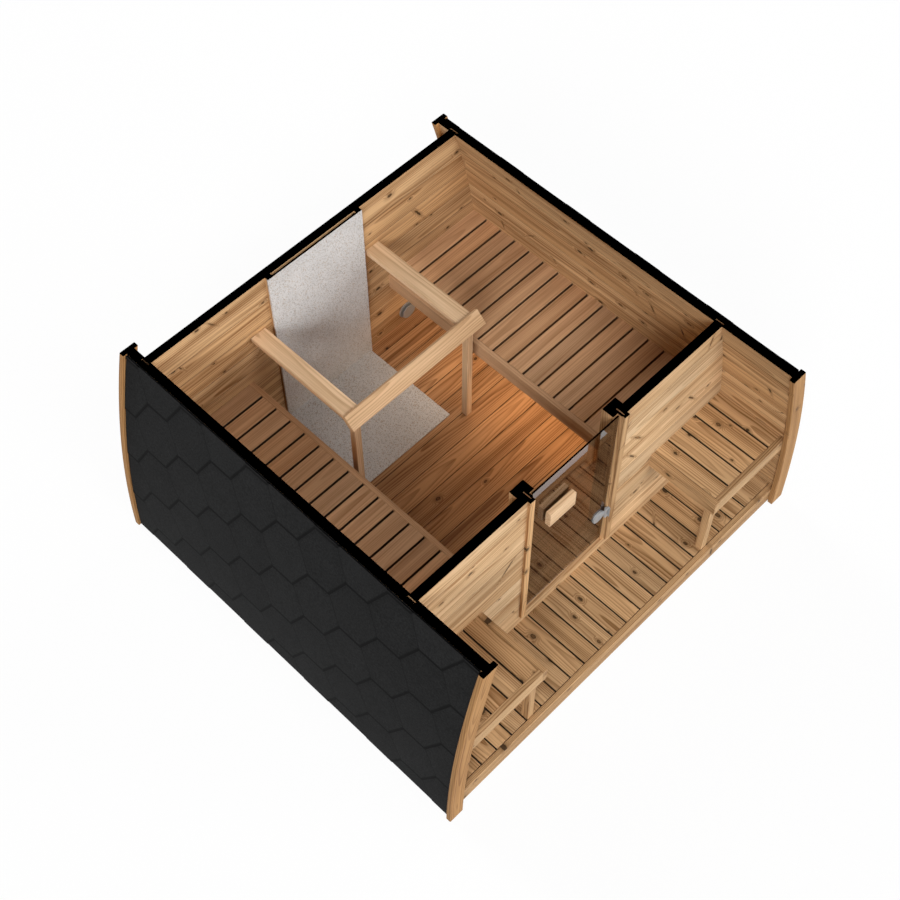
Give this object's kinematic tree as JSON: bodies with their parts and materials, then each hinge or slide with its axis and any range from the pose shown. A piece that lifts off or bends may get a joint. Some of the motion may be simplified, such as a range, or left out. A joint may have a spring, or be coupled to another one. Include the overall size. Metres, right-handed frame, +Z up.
{
  "type": "outdoor sauna cabin",
  "caption": "Timber sauna cabin with bowed shingled sides, cut level at chest height: porch, glass door, benches and heater guard.",
  "frame": {"origin": "ground level under the middle of the cabin", "axes": "+X to the right as seen from in front of the door, +Y from the porch to the back wall, +Z up"},
  "size_m": [2.3694, 2.19, 1.24],
  "materials": {
    "wall_pine": "planed, unpainted",
    "trim_pine": "planed, unpainted",
    "bench_pine": "planed, smooth",
    "floor_pine": "planed, unpainted",
    "deck_pine": "planed, unpainted",
    "hidden_pine": "sawn",
    "shingle": "mineral felt, matt",
    "cement_board": "fine grey speckle, matt",
    "smoked_glass": "toughened, bronze tint",
    "hinge_steel": "satin"
  },
  "bodies": {
    "cabin": {"air_valve": "hinge_steel", "back_wall": "wall_pine", "bench_left_fascia": "bench_pine", "bench_left_slats": "bench_pine", "bench_right_fascia": "bench_pine", "bench_right_slats": "bench_pine", "door_jamb_left": "wall_pine", "door_jamb_right": "wall_pine", "door_sill": "wall_pine", "floor_bearer_left": "hidden_pine", "floor_bearer_middle": "hidden_pine", "floor_bearer_right": "hidden_pine", "floor_panel": "cement_board", "front_wall_base": "wall_pine", "front_wall_left": "wall_pine", "front_wall_right": "wall_pine", "guard_front_rail": "bench_pine", "guard_post_left": "bench_pine", "guard_post_right": "bench_pine", "guard_rail_left": "bench_pine", "guard_rail_right": "bench_pine", "heat_shield": "cement_board", "hinge_bracket": "hinge_steel", "interior_floor": "floor_pine", "porch_bench_left_boards": "deck_pine", "porch_bench_left_leg": "deck_pine", "porch_bench_left_rail": "deck_pine", "porch_bench_right_boards": "deck_pine", "porch_bench_right_leg": "deck_pine", "porch_bench_right_rail": "deck_pine", "porch_deck": "deck_pine", "porch_front_beam": "trim_pine", "shingles_left": "shingle", "shingles_right": "shingle", "side_wall_left": "wall_pine", "side_wall_right": "wall_pine", "trim_back_left": "trim_pine", "trim_back_right": "trim_pine", "trim_front_left": "trim_pine", "trim_front_right": "trim_pine"},
    "door": {"door_glass": "smoked_glass", "door_handle_outer": "trim_pine", "door_handle_inner": "trim_pine", "door_hinge": "hinge_steel"}
  },
  "joints": [
    {"name": "door_swing", "type": "hinge", "parent": "cabin", "child": "door", "pos_m": [0.263, -0.682, 0.455], "axis": [0, 0, 1], "range_deg": [0, 100]}
  ]
}
